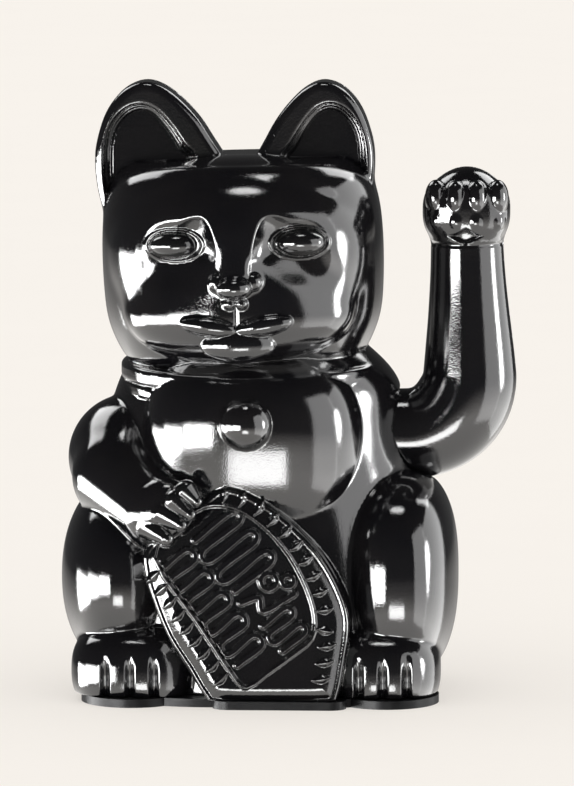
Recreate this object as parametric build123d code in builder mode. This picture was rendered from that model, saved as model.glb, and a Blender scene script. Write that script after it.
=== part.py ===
from build123d import *
from math import cos, radians, sin
import os

os.makedirs("parts", exist_ok=True)

# Beckoning cat figurine in millimetres. +Z is up, the cat faces -Y, its raised left arm is on +X, and
# the origin is the middle of the underside that it stands on.

# Shells
wall = 2.0                  # thickness of the moulded shells
plate_thick = 2.0           # base plate, whose rim shows under the feet
seam_y = 2.0                # the front and rear shells meet on this plane, which holds the arm's axis

# Head, built about its own middle and leaning a little towards the coin
head_middle = (-4.9, -3.0, 106.0)
head_lean = 1.5             # degrees
ear_front = -4.0            # faces of the ear slabs, along Y
ear_back = 8.0
ear_recess = 3.0
ear_rim = 3.2
ear_round = 1.6

# Collar and bell
collar_middle = (-3.4, -1.5)
collar_z = 73.2
collar_band = 3.9           # height of each of its two bands
collar_half = (32.2, 32.0)
collar_round = 1.5
bell_middle = (-2.7, -34.0, 68.2)
bell_r = 6.5

# Coin, an oval slab that leans on the belly
coin_middle = (-2.5, -40.2, 25.0)
coin_tilt = 27.0            # degrees its long axis leans to the right paw
coin_recline = 6.0          # degrees its top leans back
coin_half_wide = 22.5
coin_half_long = 33.0
coin_deep = 14.0
coin_round = 1.5
coin_border = 4.5
coin_groove = 0.6

# Raised arm: out of the shoulder along X, round an elbow and straight up
pivot_z = 62.5
arm_root_x = 25.0
arm_elbow_x = 35.0          # the elbow starts here
arm_upright_x = 50.0        # middle of the upright forearm
arm_r = 11.0                # root and elbow
arm_wall = 1.8
paw_middle = (49.2, seam_y, 118.4)
socket_gap = 0.7            # play all round between the arm's root and its socket in the shells
socket_floor_x = 24.4
axle_hole_gap = 1.0         # play round the axle where it passes through the shells
past_all = 60.0             # long enough to cut right through

# Mechanism, which stands on the base plate
deck_z = 5.0                # underside of the frame's foot
foot_thick = 2.0
board_thick = 1.2
tower_thick = 3.0
tower_inner_x = -4.0        # faces of the towers that look at each other
tower_outer_x = 19.0
axle_r = 1.25
axle_play = 0.05
bush_r = 3.0
flange_r = 4.0
flange_thick = 0.6
pendulum_x = 7.5
magnet_r = 6.0
magnet_thick = 3.0
weight_long = 12.0
holder_wall = 1.2
holder_bottom_z = 15.5

# Battery bay
cell_r = 7.1
cell_x = -17.5
cell_z = 9.2
bay_wide = 15.4
bay_long = 58.0
bay_high = 14.8             # inside, above the base plate
bay_wall = 1.5
contact_thick = 0.5
cell_nose = (28.0, 2.75)    # where the cell's button ends, and its radius
cell_long = 50.2
door_wide = 18.0
door_tongue = 1.3           # how far each tongue stands out of the door
door_play = 0.15
door_ledge_z = 0.9          # the tongues run on ledges at this height

# Slide switch
switch_at = (28.0, -2.0)
switch_travel = 2.0
switch_high = 3.8
knob_wide = 1.6
knob_long = 1.6
knob_slot = 5.0

# Fasteners
screw_spots = [(-34.5, -25.0), (34.5, -25.0), (-2.0, 32.0), (27.0, 24.0)]
screw_head_r = 2.6
screw_shank_r = 1.3
screw_seat_z = 3.6          # the heads of the base screws sit against this height
screw_long = 12.0
small_head_r = 1.9
small_shank_r = 0.9
frame_screw_long = 5.5
board_screw_long = 4.0
hole_play = 0.1

# Sizes that follow from the ones above
head_frame = Plane(
    origin=head_middle,
    x_dir=(cos(radians(head_lean)), 0, sin(radians(head_lean))),
    z_dir=(-sin(radians(head_lean)), 0, cos(radians(head_lean))),
)
elbow_bend = arm_upright_x - arm_elbow_x
board_z = deck_z + foot_thick
board_top = board_z + board_thick
weight_bottom_z = holder_bottom_z + magnet_thick
weight_top_z = weight_bottom_z + weight_long
holder_r = magnet_r + holder_wall
bay_end = bay_long / 2


def save(piece, name):
    """Label a finished piece and write it as its own file."""
    piece.label = name
    export_step(piece, f"parts/{name}.step")


def bar(x, y, z):
    """A box between two X values, two Y values and two Z values."""
    size = (x[1] - x[0], y[1] - y[0], z[1] - z[0])
    return Pos(x[0], y[0], z[0]) * Box(*size, align=Align.MIN, mode=Mode.PRIVATE)


def rod(start, direction, radius, length):
    """A cylinder that starts at a point and runs along a direction."""
    ends = (Align.CENTER, Align.CENTER, Align.MIN)
    return Plane(origin=start, z_dir=direction) * Cylinder(radius, length, align=ends, mode=Mode.PRIVATE)


def ellipsoid(middle, radii):
    """A closed ellipsoid with its half axes along X, Y and Z."""
    return Pos(*middle) * scale(Sphere(1, mode=Mode.PRIVATE), by=radii, mode=Mode.PRIVATE)


def stacked_loft(frame, sections, inset):
    """A smooth solid through rounded rectangles, each smaller all round by inset.

    A section is (height, shift x, shift y, half width, half depth, corner radius).
    """
    with BuildPart() as tower:
        for height, shift_x, shift_y, half_wide, half_deep, corner in sections:
            with BuildSketch(frame.offset(height)):
                with Locations((shift_x, shift_y)):
                    RectangleRounded(2 * (half_wide - inset), 2 * (half_deep - inset), corner - inset)
        loft()
    return tower.part


torso_sections = [
    (0.0, 0.0, 0.5, 39.5, 38.5, 26.0),
    (16.0, 0.0, 0.5, 41.0, 39.5, 27.0),
    (36.0, -0.5, 0.5, 41.0, 38.5, 30.0),
    (54.0, -1.5, 0.5, 39.0, 36.5, 31.0),
    (68.0, -2.5, 0.0, 36.5, 33.5, 31.0),
    (77.0, -3.5, -0.5, 33.0, 30.5, 29.0),
    (86.0, -4.4, -1.0, 26.0, 25.0, 24.0),
]
head_sections = [
    (-25.0, 0.0, 1.0, 24.0, 22.0, 21.0),
    (-18.0, 0.0, 0.0, 31.5, 29.5, 27.0),
    (-8.0, 0.0, 0.0, 34.4, 32.5, 28.0),
    (4.0, 0.0, 0.0, 34.4, 32.8, 28.0),
    (14.0, 0.0, 0.0, 32.2, 30.4, 27.0),
    (21.0, 0.0, 0.0, 27.4, 25.6, 23.0),
    (25.5, 0.0, 0.0, 19.5, 18.0, 16.0),
]


def cat_masses(inset):
    """Torso, head, right shoulder, forearm and paw, thighs and feet, each smaller all round by inset."""
    limbs = [
        ((-33.5, -3.0, 57.0), (15.4, 19.0, 17.5)),
        ((-34.0, -19.0, 51.5), (14.0, 14.0, 12.5)),
        ((-22.5, -30.5, 47.5), (11.5, 9.5, 9.0)),
        ((-34.6, -6.0, 26.5), (15.6, 31.0, 22.0)),
        ((33.6, -6.0, 27.0), (13.9, 31.0, 22.0)),
        ((-31.0, -26.0, 8.0), (14.8, 14.6, 10.6)),
        ((31.0, -26.0, 8.0), (14.8, 14.6, 10.6)),
    ]
    trunk = [stacked_loft(Plane.XY, torso_sections, inset), stacked_loft(head_frame, head_sections, inset)]
    return trunk + [ellipsoid(middle, tuple(r - inset for r in radii)) for middle, radii in limbs]


# One ear, outwards from the middle of the head and up, from its outer foot over the tip to its inner foot
ear_outline = [
    (28.5, 1.0),
    (33.4, 12.5),
    (34.5, 22.0),
    (33.8, 31.0),
    (29.5, 40.3),
    (22.0, 43.8),
    (14.5, 40.3),
    (8.0, 32.5),
    (3.4, 24.0),
]
ear_foot = (9.0, 1.0)
ear_centre = (20.5, 23.0)
ear_half_wide = 16.5


def ear_slab(side, front, back, inset):
    """A slab with the outline of one ear between two Y values, drawn in towards its middle by about inset.

    side is 1 for the ear on the raised arm's side and -1 for the other.
    """
    ear_frame = Plane(
        origin=(head_middle[0], back, head_middle[2]),
        x_dir=head_frame.x_dir,
        z_dir=(0, -1, 0),
    )
    drawn_in = 1 - inset / ear_half_wide
    middle_x, middle_z = ear_centre
    curve = []
    for x, z in ear_outline + [ear_foot]:
        curve.append((side * (middle_x + (x - middle_x) * drawn_in), middle_z + (z - middle_z) * drawn_in))
    with BuildPart() as slab:
        with BuildSketch(ear_frame):
            with BuildLine():
                Spline(*curve[:-1])
                Polyline(curve[-2], curve[-1], curve[0])
            make_face()
        extrude(amount=back - front)
    return slab.part


# The solid form of the cat, before it is hollowed and cut in two

coin_frame = Plane(
    origin=coin_middle,
    x_dir=(cos(radians(coin_tilt)), 0, sin(radians(coin_tilt))),
    z_dir=(0, -cos(radians(coin_recline)), sin(radians(coin_recline))),
)
with BuildPart() as coin:
    with BuildSketch(coin_frame):
        Ellipse(coin_half_wide, coin_half_long)
    extrude(amount=-coin_deep)
    fillet(coin.edges().group_by(Axis.Y)[0], radius=coin_round)
    # groove round the coin's panel
    with BuildSketch(coin_frame):
        Ellipse(coin_half_wide - coin_border, coin_half_long - coin_border)
        Ellipse(coin_half_wide - coin_border - 1, coin_half_long - coin_border - 1, mode=Mode.SUBTRACT)
    extrude(amount=-coin_groove, mode=Mode.SUBTRACT)

ear_slabs = [ear_slab(side, ear_front, ear_back, 0) for side in (1, -1)]
ear_dishes = [ear_slab(side, ear_front, ear_front + ear_recess, ear_rim) for side in (1, -1)]
ear_hollows = [ear_slab(side, ear_front + ear_recess + wall, ear_back - wall, wall) for side in (1, -1)]
with BuildPart() as ears:
    add(ear_slabs)
    fillet(ears.edges().filter_by(GeomType.BSPLINE), radius=ear_round)
    add(ear_dishes, mode=Mode.SUBTRACT)

with BuildPart() as collar:
    for band in range(2):
        with BuildSketch(Plane.XY.offset(collar_z + band * collar_band)):
            with Locations(collar_middle):
                Ellipse(*collar_half)
        extrude(amount=collar_band)
        fillet(collar.edges().group_by(Axis.Z)[-1], radius=collar_round)
    fillet(collar.edges().group_by(Axis.Z)[0], radius=collar_round)

face_bumps = [
    ((0.0, -33.5, -4.5), (4.6, 4.6, 3.8)),
    ((0.0, -27.5, -14.0), (14.0, 8.0, 7.0)),
    ((-15.5, -27.5, 6.8), (6.6, 5.0, 4.2)),
    ((15.5, -27.5, 6.8), (6.6, 5.0, 4.2)),
]

solid_masses = cat_masses(0)
solid_masses += [ears.part, collar.part, coin.part, ellipsoid(bell_middle, (bell_r, bell_r, bell_r))]
solid_masses += [head_frame.location * ellipsoid(middle, radii) for middle, radii in face_bumps]
with BuildPart() as cat_form:
    for mass in solid_masses:
        add(mass)
    split(bisect_by=Plane.XY.offset(plate_thick), keep=Keep.TOP)

hollow_masses = cat_masses(wall) + ear_hollows
with BuildPart() as hollow:
    for mass in hollow_masses:
        add(mass)
    # the cup behind the raised arm's root stays solid
    cup_r = arm_r + socket_gap + wall
    add(rod((socket_floor_x - wall, seam_y, pivot_z), (1, 0, 0), cup_r, past_all), mode=Mode.SUBTRACT)

# Posts that take the base screws, each tied to the nearest wall by a rib
post_r = 3.2
post_bottom_z = 8.0
post_top_z = 30.0
half_rib = 1.0
rib_ends = [(-past_all, -25.0), (past_all, -25.0), (-2.0, past_all), (past_all, 24.0)]
with BuildPart() as posts:
    for (x, y), (end_x, end_y) in zip(screw_spots, rib_ends):
        add(rod((x, y, post_bottom_z), (0, 0, 1), post_r, post_top_z - post_bottom_z))
        rib_x = (min(x - half_rib, end_x), max(x + half_rib, end_x))
        rib_y = (min(y - half_rib, end_y), max(y + half_rib, end_y))
        add(bar(rib_x, rib_y, (post_bottom_z, post_top_z)))
    add(cat_form.part, mode=Mode.INTERSECT)

with BuildPart() as shells:
    add(cat_form.part)
    add(hollow.part, mode=Mode.SUBTRACT)
    add(posts.part)
    for x, y in screw_spots:
        add(rod((x, y, 0), (0, 0, 1), screw_shank_r, screw_seat_z + screw_long + 1), mode=Mode.SUBTRACT)
    # socket for the arm's root, and the hole for its axle
    add(rod((socket_floor_x, seam_y, pivot_z), (1, 0, 0), arm_r + socket_gap, past_all), mode=Mode.SUBTRACT)
    add(rod((pendulum_x, seam_y, pivot_z), (1, 0, 0), axle_r + axle_hole_gap, past_all), mode=Mode.SUBTRACT)

with BuildPart() as front_shell:
    add(shells.part)
    split(bisect_by=Plane.XZ.offset(-seam_y), keep=Keep.TOP)
with BuildPart() as rear_shell:
    add(shells.part)
    split(bisect_by=Plane.XZ.offset(-seam_y), keep=Keep.BOTTOM)
save(front_shell.part, "front_shell")
save(rear_shell.part, "rear_shell")

# Base plate: its rim follows the feet and the foot of the coin

bay_x = (cell_x - bay_wide / 2, cell_x + bay_wide / 2)
bay_y = (-bay_end, bay_end)
bay_top = plate_thick + bay_high
door_x = (cell_x - door_wide / 2, cell_x + door_wide / 2)
door_back_y = 39.0
slot_back_y = 50.0
boss_r = 3.0
boss_spots = [(-3.0, -24.5), (18.0, -24.5), (-3.0, 25.6), (18.0, 25.6)]
boss_pilot_z = 1.0
well_r = 4.2
well_top = 5.0
flange_wide = 2.4           # the flange at the bay's foot, beside the door
flange_z = 3.2
tab_x = (cell_x - 2, cell_x + 2)    # a contact's tab

with BuildPart() as base_plate:
    with BuildSketch() as rim:
        with Locations((0, 0.5)):
            RectangleRounded(81.0, 79.0, 27.0)
        with Locations((-31.0, -26.0), (31.0, -26.0)):
            Ellipse(12.6, 15.2)
        with Locations((5.4, -34.0)):
            RectangleRounded(32.4, 19.0, 4.0)
    extrude(amount=plate_thick)
    for x, y in screw_spots:
        add(rod((x, y, plate_thick), (0, 0, 1), well_r, well_top - plate_thick))
    for x, y in boss_spots:
        add(rod((x, y, plate_thick), (0, 0, 1), boss_r, deck_z - plate_thick))
    # battery bay, whose flanges hold the door up
    add(bar((bay_x[0] - bay_wall, bay_x[1] + bay_wall), (-bay_end - bay_wall, bay_end + bay_wall),
            (plate_thick, bay_top + bay_wall)))
    add(bar((door_x[0] - flange_wide, door_x[1] + flange_wide), (-bay_end - bay_wall, bay_end + bay_wall),
            (plate_thick, flange_z)))
    add(bar(bay_x, bay_y, (0, bay_top)), mode=Mode.SUBTRACT)
    # slot for the door: narrow at the underside and wide above, open at the back
    add(bar((door_x[0] - door_play, door_x[1] + door_play), (-bay_end, slot_back_y), (0, door_ledge_z)),
        mode=Mode.SUBTRACT)
    add(bar((door_x[0] - door_tongue - door_play, door_x[1] + door_tongue + door_play), (-bay_end, slot_back_y),
            (door_ledge_z, plate_thick)), mode=Mode.SUBTRACT)
    # slots in the bay's roof for the tabs of the two contacts
    for y in ((-bay_end, -bay_end + contact_thick), (bay_end - contact_thick, bay_end)):
        add(bar(tab_x, y, (bay_top, bay_top + bay_wall)), mode=Mode.SUBTRACT)
    for x, y in screw_spots:
        add(rod((x, y, 0), (0, 0, 1), screw_head_r + 3 * hole_play, screw_seat_z), mode=Mode.SUBTRACT)
        add(rod((x, y, 0), (0, 0, 1), screw_shank_r + hole_play, well_top), mode=Mode.SUBTRACT)
    for x, y in boss_spots:
        add(rod((x, y, boss_pilot_z), (0, 0, 1), small_shank_r, deck_z), mode=Mode.SUBTRACT)
    # window for the switch's knob
    window_x = (switch_at[0] - knob_wide / 2 - 3 * hole_play, switch_at[0] + knob_wide / 2 + 3 * hole_play)
    window_y = (switch_at[1] - knob_slot / 2, switch_at[1] + knob_slot / 2)
    add(bar(window_x, window_y, (0, plate_thick)), mode=Mode.SUBTRACT)
save(base_plate.part, "base_plate")

door_bottom_z = 0.2
door_y = (-bay_end + 2 * door_play, door_back_y)
tongue_z = (door_ledge_z + 0.1, plate_thick - 0.1)
finger_grooves = [27.0, 29.2, 31.4, 33.6]
groove_wide = 1.0
groove_deep = 0.4
with BuildPart() as battery_door:
    add(bar(door_x, door_y, (door_bottom_z, tongue_z[0])))
    add(bar((door_x[0] - door_tongue, door_x[1] + door_tongue), door_y, tongue_z))
    for y in finger_grooves:
        groove_z = (door_bottom_z, door_bottom_z + groove_deep)
        add(bar((cell_x - 5, cell_x + 5), (y, y + groove_wide), groove_z), mode=Mode.SUBTRACT)
save(battery_door.part, "battery_door")

# Battery and its contacts

nose_y, nose_r = cell_nose
with BuildPart() as aa_cell:
    add(rod((cell_x, nose_y - cell_long, cell_z), (0, 1, 0), cell_r, cell_long - 1))
    fillet(aa_cell.edges(), radius=0.6)
    add(rod((cell_x, nose_y - 1, cell_z), (0, 1, 0), nose_r, 1))
save(aa_cell.part, "aa_cell")

tab_top = bay_top + bay_wall + 2.5
contact_half = 5.0
contact_z = (3.5, bay_top - 1)
dimple_r = 3.0
plate_y = (bay_end - contact_thick, bay_end)
with BuildPart() as plate_contact:
    add(bar((cell_x - contact_half, cell_x + contact_half), plate_y, contact_z))
    add(bar(tab_x, plate_y, (contact_z[1], tab_top)))
    add(rod((cell_x, nose_y, cell_z), (0, 1, 0), dimple_r, plate_y[0] - nose_y))
save(plate_contact.part, "plate_contact")

spring_wire_r = 0.4
spring_r = 3.6
spring_from = -bay_end + contact_thick
spring_turns = 4
spring_high = nose_y - cell_long - spring_from - 2 * spring_wire_r
spring_start = (cell_x, spring_from + spring_wire_r * 0.8, cell_z)
with BuildPart() as spring_contact:
    add(bar((cell_x - contact_half, cell_x + contact_half), (-bay_end, spring_from), contact_z))
    add(bar(tab_x, (-bay_end, spring_from), (contact_z[1], tab_top)))
    with BuildLine() as coil_line:
        Helix(spring_high / spring_turns, spring_high, spring_r, center=spring_start, direction=(0, 1, 0))
    with BuildSketch(coil_line.line ^ 0):
        Circle(spring_wire_r)
    sweep(is_frenet=True)
save(spring_contact.part, "spring_contact")

# Slide switch

switch_x, switch_y = switch_at
switch_top = plate_thick + switch_high
guide_top = plate_thick + 1.9
with BuildPart() as switch_housing:
    add(bar((switch_x - 2.2, switch_x + 2.2), (switch_y - 4.5, switch_y + 4.5), (plate_thick, switch_top)))
    # guide for the slider
    guide_x, guide_y = (switch_x - 1.6, switch_x + 1.6), (switch_y - 3.6, switch_y + 3.6)
    add(bar(guide_x, guide_y, (plate_thick, guide_top)), mode=Mode.SUBTRACT)
save(switch_housing.part, "switch_housing")

knob_rest_y = switch_y - switch_travel / 2
slider_half = (1.4, 2.3)
slider_z = (plate_thick + 0.1, plate_thick + 1.6)
knob_bottom_z = 0.3
with BuildPart() as switch_slider:
    add(bar((switch_x - slider_half[0], switch_x + slider_half[0]),
            (knob_rest_y - slider_half[1], knob_rest_y + slider_half[1]), slider_z))
    add(bar((switch_x - knob_wide / 2, switch_x + knob_wide / 2),
            (knob_rest_y - knob_long / 2, knob_rest_y + knob_long / 2), (knob_bottom_z, slider_z[0])))
save(switch_slider.part, "switch_slider")

# Frame of the mechanism: a foot with two tapering towers that carry the bushes

foot_x = (tower_inner_x - tower_thick, tower_outer_x + tower_thick)
foot_y = (-27.5, 28.4)
tower_foot_half = 13.0
tower_head_half = 5.0
board_screw_spots = [(pendulum_x, -19.0), (pendulum_x, 20.0)]
with BuildPart() as mechanism_frame:
    add(bar(foot_x, foot_y, (deck_z, deck_z + foot_thick)))
    for tower_x in (foot_x[0], tower_outer_x):
        with BuildSketch(Plane.YZ.offset(tower_x)):
            with BuildLine():
                Polyline((seam_y - tower_foot_half, board_z), (seam_y + tower_foot_half, board_z),
                         (seam_y + tower_head_half, pivot_z), (seam_y - tower_head_half, pivot_z), close=True)
            make_face()
            with Locations((seam_y, pivot_z)):
                Circle(tower_head_half)
            # window that lightens the tower
            with Locations((seam_y, board_z + 17)):
                RectangleRounded(7, 20, 3, mode=Mode.SUBTRACT)
        extrude(amount=tower_thick)
    add(rod((foot_x[0] - 1, seam_y, pivot_z), (1, 0, 0), bush_r, foot_x[1] - foot_x[0] + 2), mode=Mode.SUBTRACT)
    for x, y in boss_spots:
        add(rod((x, y, deck_z), (0, 0, 1), small_shank_r + hole_play, foot_thick), mode=Mode.SUBTRACT)
    for x, y in board_screw_spots:
        add(rod((x, y, deck_z), (0, 0, 1), small_shank_r, foot_thick), mode=Mode.SUBTRACT)
save(mechanism_frame.part, "mechanism_frame")


def bush(start_x, flange_x, name):
    """A flanged bush in one tower, with its flange on the pendulum's side."""
    with BuildPart() as piece:
        add(rod((start_x, seam_y, pivot_z), (1, 0, 0), bush_r, tower_thick))
        add(rod((flange_x, seam_y, pivot_z), (1, 0, 0), flange_r, flange_thick))
        add(rod((foot_x[0], seam_y, pivot_z), (1, 0, 0), axle_r + axle_play, past_all), mode=Mode.SUBTRACT)
    save(piece.part, name)


bush(foot_x[0], tower_inner_x, "inner_bush")
bush(tower_outer_x, tower_outer_x - flange_thick, "outer_bush")

# Circuit board with its drive coil

board_x = (tower_inner_x + 0.5, tower_outer_x - 0.5)
board_y = (-21.5, 22.5)
with BuildPart() as circuit_board:
    add(bar(board_x, board_y, (board_z, board_top)))
    for x, y in board_screw_spots:
        add(rod((x, y, board_z), (0, 0, 1), small_shank_r + hole_play, board_thick), mode=Mode.SUBTRACT)
save(circuit_board.part, "circuit_board")

coil_flange_r = 9.0
coil_winding_r = 8.3
coil_core_r = 3.5
coil_bore_r = 1.5
coil_top_z = board_top + 5.4
flange_high = 0.8
with BuildPart() as coil_bobbin:
    add(rod((pendulum_x, seam_y, board_top), (0, 0, 1), coil_flange_r, flange_high))
    add(rod((pendulum_x, seam_y, board_top), (0, 0, 1), coil_core_r, coil_top_z - board_top))
    add(rod((pendulum_x, seam_y, coil_top_z - flange_high), (0, 0, 1), coil_flange_r, flange_high))
    add(rod((pendulum_x, seam_y, board_top), (0, 0, 1), coil_bore_r, past_all), mode=Mode.SUBTRACT)
save(coil_bobbin.part, "coil_bobbin")

with BuildPart() as coil_winding:
    add(rod((pendulum_x, seam_y, board_top + flange_high), (0, 0, 1), coil_winding_r,
            coil_top_z - board_top - 2 * flange_high))
    add(rod((pendulum_x, seam_y, board_top), (0, 0, 1), coil_core_r, past_all), mode=Mode.SUBTRACT)
save(coil_winding.part, "coil_winding")

transistor_x, transistor_y = (14.0, 16.5)
transistor_r = 2.4
transistor_high = 4.6
lead_r = 0.25
lead_pitch = 1.27
lead_long = 2.0
with BuildPart() as transistor:
    with BuildSketch(Plane.XY.offset(board_top + lead_long)):
        with Locations((transistor_x, transistor_y)):
            Circle(transistor_r)
            # flat side
            with Locations((0, -transistor_r)):
                Rectangle(3 * transistor_r, transistor_r, mode=Mode.SUBTRACT)
    extrude(amount=transistor_high)
    for lead in (-1, 0, 1):
        add(rod((transistor_x + lead_pitch * lead, transistor_y, board_top), (0, 0, 1), lead_r, lead_long))
save(transistor.part, "transistor")

can_at = (1.2, 19.2)
can_r = 2.5
can_high = 7.0
with BuildPart() as capacitor:
    add(rod((*can_at, board_top), (0, 0, 1), can_r, can_high))
    fillet(capacitor.edges().group_by(Axis.Z)[-1], radius=0.4)
save(capacitor.part, "capacitor")

resistor_xs = (12.0, 15.0)
resistor_z = board_top + 1.1
resistor_body = (-19.0, 5.0)        # where each body starts along Y, and its length
resistor_leads = (-20.2, -12.8)
lead_thick = 0.3
with BuildPart() as resistors:
    for x in resistor_xs:
        add(rod((x, resistor_body[0], resistor_z), (0, 1, 0), 1.0, resistor_body[1]))
        lead_span = resistor_leads[1] - resistor_leads[0]
        add(rod((x, resistor_leads[0], resistor_z), (0, 1, 0), lead_thick, lead_span))
        for y in (resistor_leads[0], resistor_leads[1] - lead_thick):
            leg_z = (board_top, resistor_z + lead_thick)
            add(bar((x - lead_thick, x + lead_thick), (y, y + lead_thick), leg_z))
save(resistors.part, "resistors")


wire_r = 0.5
wire_bend = 3.5


def wire(route, name):
    """An insulated wire along straight runs joined by tangent arcs."""
    with BuildPart() as piece:
        with BuildLine() as path:
            FilletPolyline(*route, radius=wire_bend)
        with BuildSketch(path.line ^ 0):
            Circle(wire_r)
        sweep()
    save(piece.part, name)


tab_z = tab_top - 1.0
pads_x = -1.8
negative_y = -18.5
positive_y = 15.0
wire([
    (cell_x, spring_from, tab_z),
    (cell_x, negative_y, tab_z),
    (pads_x, negative_y, tab_z),
    (pads_x, negative_y, board_top),
], "negative_wire")
wire([
    (cell_x, plate_y[0], tab_z),
    (cell_x, positive_y, tab_z),
    (pads_x, positive_y, tab_z),
    (pads_x, positive_y, board_top),
], "positive_wire")

switch_wire_z = 12.5
switch_pad = (17.2, -16.0)
wire([
    (switch_x, switch_y, switch_top),
    (switch_x, switch_y, switch_wire_z),
    (switch_x, switch_pad[1], switch_wire_z),
    (*switch_pad, switch_wire_z),
    (*switch_pad, board_top),
], "switch_wire")

# Raised arm: an elbow tube, an upright forearm and a rounded paw, in two halves that meet on the seam's plane

elbow_z = pivot_z + elbow_bend
forearm = [(0.0, 11.0), (16.0, 9.9), (32.0, 9.1), (39.0, 9.9), (43.0, 10.5)]    # height above the elbow, radius
forearm_lean = 0.02         # towards the head, for each millimetre up
paw_radii = (10.8, 10.2, 9.4)


def arm_masses(inset):
    """Root, elbow, forearm and paw of the raised arm, each smaller all round by inset."""
    with BuildPart() as root:
        with BuildSketch(Plane.YZ.offset(arm_root_x)):
            with Locations((seam_y, pivot_z)):
                Circle(arm_r - inset)
        extrude(amount=arm_elbow_x - arm_root_x)
    with BuildPart() as elbow:
        with BuildSketch(Plane.YZ.offset(arm_elbow_x)):
            with Locations((seam_y, pivot_z)):
                Circle(arm_r - inset)
        revolve(axis=Axis((arm_elbow_x, seam_y, elbow_z), (0, -1, 0)), revolution_arc=90)
    with BuildPart() as upright:
        for height, radius in forearm:
            with BuildSketch(Plane.XY.offset(elbow_z + height)):
                with Locations((arm_upright_x - height * forearm_lean, seam_y)):
                    Circle(radius - inset)
        loft()
    return [root.part, elbow.part, upright.part, ellipsoid(paw_middle, tuple(r - inset for r in paw_radii))]


arm_solids = arm_masses(0)
arm_hollows = arm_masses(arm_wall)
with BuildPart() as arm:
    add(arm_solids)
    add(arm_hollows, mode=Mode.SUBTRACT)

with BuildPart() as arm_front_half:
    add(arm.part)
    split(bisect_by=Plane.XZ.offset(-seam_y), keep=Keep.TOP)
with BuildPart() as arm_rear_half:
    add(arm.part)
    split(bisect_by=Plane.XZ.offset(-seam_y), keep=Keep.BOTTOM)
save(arm_front_half.part, "arm_front_half")
save(arm_rear_half.part, "arm_rear_half")

axle_end_x = 42.0
hub_r = arm_r - arm_wall
hub_boss_r = 3.2
hub_disc = 2.0
hub_rib = (6.0, 2 * hub_r - 1, 1.4)
with BuildPart() as arm_hub:
    add(rod((arm_root_x, seam_y, pivot_z), (1, 0, 0), hub_r, hub_disc))
    add(rod((arm_root_x, seam_y, pivot_z), (1, 0, 0), hub_boss_r, axle_end_x - arm_root_x))
    for angle in (0, 60, 120):
        rib = Rot(angle, 0, 0) * Box(*hub_rib, mode=Mode.PRIVATE)
        add(Pos(arm_root_x + hub_disc / 2 + hub_rib[0] / 2, seam_y, pivot_z) * rib)
    add(rod((arm_root_x, seam_y, pivot_z), (1, 0, 0), axle_r, past_all), mode=Mode.SUBTRACT)
save(arm_hub.part, "arm_hub")

# Axle and pendulum

axle_start_x = foot_x[0] - 2
with BuildPart() as axle:
    add(rod((axle_start_x, seam_y, pivot_z), (1, 0, 0), axle_r, axle_end_x - axle_start_x))
    chamfer(axle.edges(), length=0.3)
save(axle.part, "axle")

boss_play = 0.4
lever_boss_x = (tower_inner_x + flange_thick + boss_play, tower_outer_x - flange_thick - boss_play)
lever_boss_r = 3.8
lever_half = (3.5, 1.5)
holder_top_z = weight_top_z + 3.0
lever_x = (pendulum_x - lever_half[0], pendulum_x + lever_half[0])
lever_y = (seam_y - lever_half[1], seam_y + lever_half[1])
pocket_deep = weight_top_z - holder_bottom_z
with BuildPart() as pendulum_lever:
    add(rod((lever_boss_x[0], seam_y, pivot_z), (1, 0, 0), lever_boss_r, lever_boss_x[1] - lever_boss_x[0]))
    add(bar(lever_x, lever_y, (holder_top_z - 1, pivot_z)))
    add(rod((pendulum_x, seam_y, holder_bottom_z), (0, 0, 1), holder_r, holder_top_z - holder_bottom_z))
    add(rod((pendulum_x, seam_y, holder_bottom_z), (0, 0, 1), magnet_r, pocket_deep), mode=Mode.SUBTRACT)
    add(rod((axle_start_x, seam_y, pivot_z), (1, 0, 0), axle_r, past_all), mode=Mode.SUBTRACT)
save(pendulum_lever.part, "pendulum_lever")

with BuildPart() as pendulum_magnet:
    add(rod((pendulum_x, seam_y, holder_bottom_z), (0, 0, 1), magnet_r, magnet_thick))
save(pendulum_magnet.part, "pendulum_magnet")

with BuildPart() as counterweight:
    add(rod((pendulum_x, seam_y, weight_bottom_z), (0, 0, 1), magnet_r, weight_long))
save(counterweight.part, "counterweight")


recess_half = 0.3
recess_share = 0.6          # how much of the head's radius the cross recess takes


def screws(spots, under_head_z, direction, head_r, head_high, shank_r, shank_long, name):
    """A group of identical cross-head screws. direction is 1 when they are driven upwards, -1 downwards."""
    with BuildPart() as group:
        for x, y in spots:
            add(rod((x, y, under_head_z), (0, 0, -direction), head_r, head_high))
            add(rod((x, y, under_head_z), (0, 0, direction), shank_r, shank_long))
            top = under_head_z - direction * head_high
            recess_z = sorted((top, top + direction * head_high / 2))
            arm_long = head_r * recess_share
            long_x, long_y = (x - arm_long, x + arm_long), (y - arm_long, y + arm_long)
            thin_x, thin_y = (x - recess_half, x + recess_half), (y - recess_half, y + recess_half)
            add(bar(long_x, thin_y, recess_z), mode=Mode.SUBTRACT)
            add(bar(thin_x, long_y, recess_z), mode=Mode.SUBTRACT)
    save(group.part, name)


screws(screw_spots, screw_seat_z, 1, screw_head_r, 2.0, screw_shank_r, screw_long, "base_screws")
screws(boss_spots, deck_z + foot_thick, -1, small_head_r, 1.4, small_shank_r, frame_screw_long, "frame_screws")
screws(board_screw_spots, board_top, -1, small_head_r, 1.2, small_shank_r, board_screw_long, "board_screws")
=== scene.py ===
import bpy
import numpy as np
from math import cos, pi, radians, sin
from mathutils import Matrix, Vector


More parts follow.
